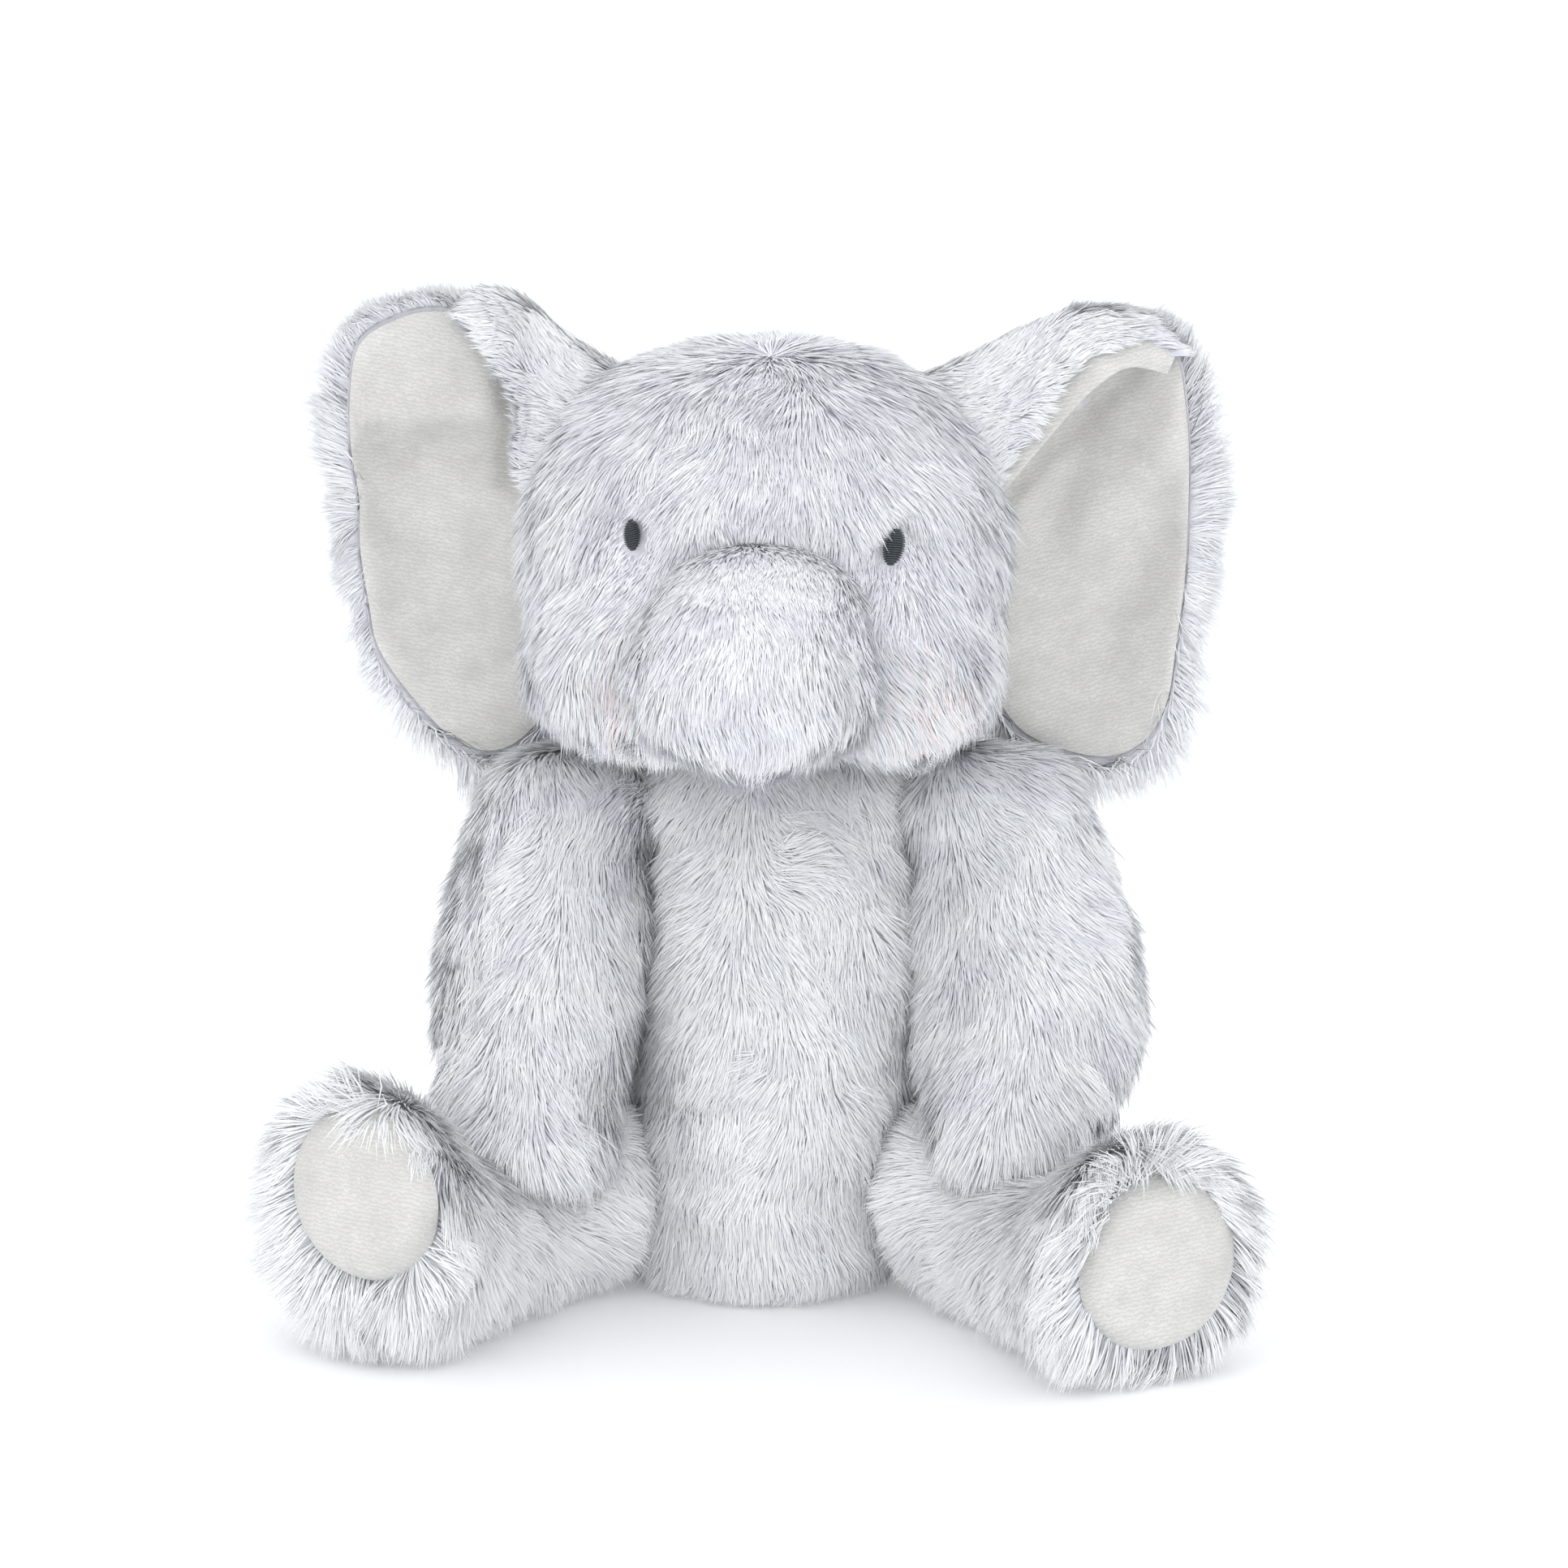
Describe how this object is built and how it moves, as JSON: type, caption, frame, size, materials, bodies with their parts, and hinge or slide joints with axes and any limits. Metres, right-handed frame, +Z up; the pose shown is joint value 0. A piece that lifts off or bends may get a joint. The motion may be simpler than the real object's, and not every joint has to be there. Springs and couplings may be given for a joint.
{
  "type": "stuffed elephant",
  "caption": "Sitting stuffed elephant in long silver-grey plush, with cupped lined ears, a short drooping trunk, stitched eyes and ivory foot pads.",
  "frame": {"origin": "middle of the whole toy's footprint box, on the surface it sits on", "axes": "+Z up, the elephant faces -Y, +X is its own left side"},
  "size_m": [0.1926, 0.1388, 0.2022],
  "materials": {
    "plush": "long-pile polyester plush, frosted silver grey, pale tips over a darker mauve-grey root",
    "velour": "short-pile knitted velour in warm ivory",
    "stitching": "satin-stitch embroidery in charcoal thread",
    "stuffing": "white polyester fibre filling",
    "pouch": "woven cotton pouch filled with plastic pellets",
    "label": "blank white satin ribbon"
  },
  "bodies": {
    "torso": {"torso_front_panel": "plush", "torso_back_panel": "plush", "seat_panel": "plush", "torso_stuffing": "stuffing", "pellet_pouch": "pouch", "care_label": "label"},
    "tail": {"tail": "plush"},
    "neck": {"neck_stuffing": "stuffing"},
    "head": {"head_left_panel": "plush", "head_right_panel": "plush", "head_gusset": "plush", "head_stuffing": "stuffing", "left_eye": "stitching", "right_eye": "stitching"},
    "trunk": {"trunk_top_panel": "plush", "trunk_under_panel": "plush", "trunk_stuffing": "stuffing"},
    "left_ear": {"left_ear_back": "plush", "left_ear_lining": "velour"},
    "right_ear": {"right_ear_back": "plush", "right_ear_lining": "velour"},
    "left_arm": {"left_arm_outer_panel": "plush", "left_arm_inner_panel": "plush", "left_arm_stuffing": "stuffing"},
    "right_arm": {"right_arm_outer_panel": "plush", "right_arm_inner_panel": "plush", "right_arm_stuffing": "stuffing"},
    "left_leg": {"left_leg_outer_panel": "plush", "left_leg_inner_panel": "plush", "left_leg_stuffing": "stuffing", "left_foot_pad": "velour"},
    "right_leg": {"right_leg_outer_panel": "plush", "right_leg_inner_panel": "plush", "right_leg_stuffing": "stuffing", "right_foot_pad": "velour"}
  },
  "joints": [
    {"name": "head_turn", "type": "hinge", "parent": "torso", "child": "neck", "pos_m": [0.003, 0.0256, 0.1104], "axis": [0, 0, 1], "range_deg": [-20, 20], "stiffness_Nm_per_rad": 0.08},
    {"name": "head_nod", "type": "hinge", "parent": "neck", "child": "head", "pos_m": [0.003, 0.0256, 0.1104], "axis": [1, 0, 0], "range_deg": [-8, 10], "stiffness_Nm_per_rad": 0.15},
    {"name": "trunk_lift", "type": "hinge", "parent": "head", "child": "trunk", "pos_m": [0.0007, -0.0364, 0.1432], "axis": [-1, 0, 0], "range_deg": [-6, 25], "stiffness_Nm_per_rad": 0.01},
    {"name": "left_ear_fold", "type": "hinge", "parent": "head", "child": "left_ear", "pos_m": [0.0495, 0.0326, 0.1558], "axis": [0.1861, 0, -0.9825], "range_deg": [-10, 20], "stiffness_Nm_per_rad": 0.02},
    {"name": "right_ear_fold", "type": "hinge", "parent": "head", "child": "right_ear", "pos_m": [-0.0455, 0.0276, 0.1558], "axis": [0.1861, 0, 0.9825], "range_deg": [-10, 20], "stiffness_Nm_per_rad": 0.02},
    {"name": "left_arm_swing", "type": "hinge", "parent": "torso", "child": "left_arm", "pos_m": [0.052, 0.0176, 0.097], "axis": [-1, 0, 0], "range_deg": [-30, 60], "stiffness_Nm_per_rad": 0.06},
    {"name": "right_arm_swing", "type": "hinge", "parent": "torso", "child": "right_arm", "pos_m": [-0.042, 0.0176, 0.097], "axis": [-1, 0, 0], "range_deg": [-30, 60], "stiffness_Nm_per_rad": 0.06},
    {"name": "left_leg_splay", "type": "hinge", "parent": "torso", "child": "left_leg", "pos_m": [0.046, -0.0004, 0.017], "axis": [0, 0, 1], "range_deg": [-8, 12], "stiffness_Nm_per_rad": 0.08},
    {"name": "right_leg_splay", "type": "hinge", "parent": "torso", "child": "right_leg", "pos_m": [-0.0435, 0.0076, 0.017], "axis": [0, 0, -1], "range_deg": [-8, 12], "stiffness_Nm_per_rad": 0.08},
    {"name": "tail_wag", "type": "hinge", "parent": "torso", "child": "tail", "pos_m": [0.004, 0.0621, 0.041], "axis": [0, 1, 0], "range_deg": [-30, 30], "stiffness_Nm_per_rad": 0.002}
  ]
}
